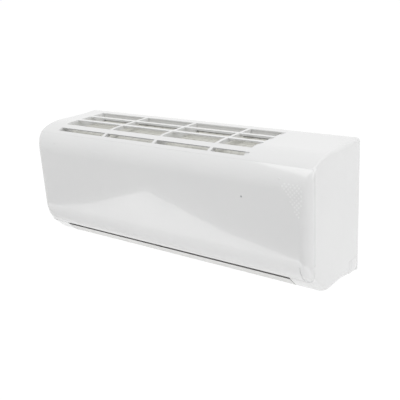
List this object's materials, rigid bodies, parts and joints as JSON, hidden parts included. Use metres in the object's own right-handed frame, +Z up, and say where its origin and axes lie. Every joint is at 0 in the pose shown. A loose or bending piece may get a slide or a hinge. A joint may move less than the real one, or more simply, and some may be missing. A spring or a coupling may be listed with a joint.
{
  "type": "mini split indoor unit",
  "caption": "Wall-mounted indoor unit of a split air conditioner with hinged front panel, top intake grille, louver, swinging vanes and cross-flow fan.",
  "frame": {"origin": "middle of the wall plate's back face", "axes": "+X to the right as seen from the room, +Y into the wall, +Z up"},
  "size_m": [0.715, 0.2084, 0.282],
  "materials": {
    "casing_white": "glossy injection moulding",
    "louver_white": "satin injection moulding",
    "inner_white": "matt moulding",
    "filter_net": "moulded frame with fine net",
    "window_tint": "tinted",
    "zinc_sheet": "galvanised sheet",
    "fin_aluminium": "coated fins",
    "copper": "copper tube",
    "nut_brass": "machined",
    "foam_black": "closed-cell foam",
    "rubber_black": "moulded",
    "fan_black": "glass-filled moulding",
    "steel": "zinc plated",
    "motor_case": "moulded compound",
    "board_green": "printed circuit board",
    "terminal_black": "moulded",
    "button_grey": "satin"
  },
  "bodies": {
    "casing": {"bearing_holder": "rubber_black", "cable_grommet": "rubber_black", "casing_screws": "steel", "coil_front_fins": "fin_aluminium", "coil_plate_left": "zinc_sheet", "coil_plate_right": "zinc_sheet", "coil_rear_fins": "fin_aluminium", "coil_top_fins": "fin_aluminium", "coil_tubes": "copper", "control_box": "inner_white", "control_cover": "inner_white", "display_board": "board_green", "drain_plug": "rubber_black", "fan_bearing": "steel", "fan_motor": "motor_case", "filter_left": "filter_net", "filter_right": "filter_net", "front_frame": "casing_white", "gas_flare_nut": "nut_brass", "gas_pipe": "copper", "inner_screws": "steel", "liquid_flare_nut": "nut_brass", "liquid_pipe": "copper", "louver_bracket": "louver_white", "louver_stepper": "steel", "main_board": "board_green", "motor_clamp": "zinc_sheet", "motor_rings": "rubber_black", "outlet_frame": "inner_white", "pipe_clamp": "zinc_sheet", "pipe_insulation": "foam_black", "pipe_knockout_left": "casing_white", "pipe_knockout_right": "casing_white", "rear_chassis": "inner_white", "screw_caps": "inner_white", "terminal_block": "terminal_black", "terminal_cover": "inner_white", "vane_base_left": "inner_white", "vane_base_right": "inner_white", "wall_plate": "zinc_sheet"},
    "panel": {"front_panel": "casing_white", "receiver_window": "window_tint"},
    "louver": {"louver": "louver_white", "stepper_shaft": "steel"},
    "fan": {"cross_flow_fan": "fan_black", "fan_shaft": "steel", "motor_shaft": "steel"},
    "manual_button": {"auto_button": "button_grey"},
    "vane_left_1": {"vane_left_1": "inner_white"},
    "vane_left_2": {"vane_left_2": "inner_white"},
    "vane_left_3": {"vane_left_3": "inner_white"},
    "vane_left_4": {"vane_left_4": "inner_white"},
    "vane_left_5": {"vane_left_5": "inner_white"},
    "link_bar_left": {"link_bar_left": "inner_white"},
    "vane_right_1": {"vane_right_1": "inner_white"},
    "vane_right_2": {"vane_right_2": "inner_white"},
    "vane_right_3": {"vane_right_3": "inner_white"},
    "vane_right_4": {"vane_right_4": "inner_white"},
    "vane_right_5": {"vane_right_5": "inner_white"},
    "link_bar_right": {"link_bar_right": "inner_white"}
  },
  "joints": [
    {"name": "panel_hinge", "type": "hinge", "parent": "casing", "child": "panel", "pos_m": [0, -0.178, 0.124], "axis": [-1, 0, 0], "range_deg": [0, 60]},
    {"name": "louver_pivot", "type": "hinge", "parent": "casing", "child": "louver", "pos_m": [0, -0.15, -0.115], "axis": [1, 0, 0], "range_deg": [0, 80]},
    {"name": "fan_spin", "type": "hinge", "parent": "casing", "child": "fan", "pos_m": [0, -0.095, -0.024], "axis": [1, 0, 0], "continuous": true},
    {"name": "button_press", "type": "slide", "parent": "casing", "child": "manual_button", "axis": [0, 1, 0], "range_m": [0, 0.0008], "stiffness_N_per_m": 400},
    {"name": "vane_left_1_pivot", "type": "hinge", "parent": "casing", "child": "vane_left_1", "pos_m": [-0.275, -0.10919, -0.10705], "axis": [0, -0.6514, 0.7587], "range_deg": [-35, 35]},
    {"name": "vane_left_2_pivot", "type": "hinge", "parent": "casing", "child": "vane_left_2", "pos_m": [-0.226, -0.10919, -0.10705], "axis": [0, -0.6514, 0.7587], "range_deg": [-35, 35]},
    {"name": "vane_left_3_pivot", "type": "hinge", "parent": "casing", "child": "vane_left_3", "pos_m": [-0.177, -0.10919, -0.10705], "axis": [0, -0.6514, 0.7587], "range_deg": [-35, 35]},
    {"name": "vane_left_4_pivot", "type": "hinge", "parent": "casing", "child": "vane_left_4", "pos_m": [-0.128, -0.10919, -0.10705], "axis": [0, -0.6514, 0.7587], "range_deg": [-35, 35]},
    {"name": "vane_left_5_pivot", "type": "hinge", "parent": "casing", "child": "vane_left_5", "pos_m": [-0.079, -0.10919, -0.10705], "axis": [0, -0.6514, 0.7587], "range_deg": [-35, 35]},
    {"name": "link_bar_left_pin", "type": "hinge", "parent": "vane_left_1", "child": "link_bar_left", "pos_m": [-0.275, -0.1074, -0.09102], "axis": [0, -0.6514, 0.7587], "range_deg": [-35, 35]},
    {"name": "vane_right_1_pivot", "type": "hinge", "parent": "casing", "child": "vane_right_1", "pos_m": [-0.017, -0.10919, -0.10705], "axis": [0, -0.6514, 0.7587], "range_deg": [-35, 35]},
    {"name": "vane_right_2_pivot", "type": "hinge", "parent": "casing", "child": "vane_right_2", "pos_m": [0.032, -0.10919, -0.10705], "axis": [0, -0.6514, 0.7587], "range_deg": [-35, 35]},
    {"name": "vane_right_3_pivot", "type": "hinge", "parent": "casing", "child": "vane_right_3", "pos_m": [0.081, -0.10919, -0.10705], "axis": [0, -0.6514, 0.7587], "range_deg": [-35, 35]},
    {"name": "vane_right_4_pivot", "type": "hinge", "parent": "casing", "child": "vane_right_4", "pos_m": [0.13, -0.10919, -0.10705], "axis": [0, -0.6514, 0.7587], "range_deg": [-35, 35]},
    {"name": "vane_right_5_pivot", "type": "hinge", "parent": "casing", "child": "vane_right_5", "pos_m": [0.179, -0.10919, -0.10705], "axis": [0, -0.6514, 0.7587], "range_deg": [-35, 35]},
    {"name": "link_bar_right_pin", "type": "hinge", "parent": "vane_right_1", "child": "link_bar_right", "pos_m": [-0.017, -0.1074, -0.09102], "axis": [0, -0.6514, 0.7587], "range_deg": [-35, 35]}
  ],
  "couplings": [
    {"joint": "vane_left_2_pivot", "follows": "vane_left_1_pivot", "ratio": 1},
    {"joint": "vane_left_3_pivot", "follows": "vane_left_1_pivot", "ratio": 1},
    {"joint": "vane_left_4_pivot", "follows": "vane_left_1_pivot", "ratio": 1},
    {"joint": "vane_left_5_pivot", "follows": "vane_left_1_pivot", "ratio": 1},
    {"joint": "link_bar_left_pin", "follows": "vane_left_1_pivot", "ratio": -1},
    {"joint": "vane_right_2_pivot", "follows": "vane_right_1_pivot", "ratio": 1},
    {"joint": "vane_right_3_pivot", "follows": "vane_right_1_pivot", "ratio": 1},
    {"joint": "vane_right_4_pivot", "follows": "vane_right_1_pivot", "ratio": 1},
    {"joint": "vane_right_5_pivot", "follows": "vane_right_1_pivot", "ratio": 1},
    {"joint": "link_bar_right_pin", "follows": "vane_right_1_pivot", "ratio": -1}
  ]
}
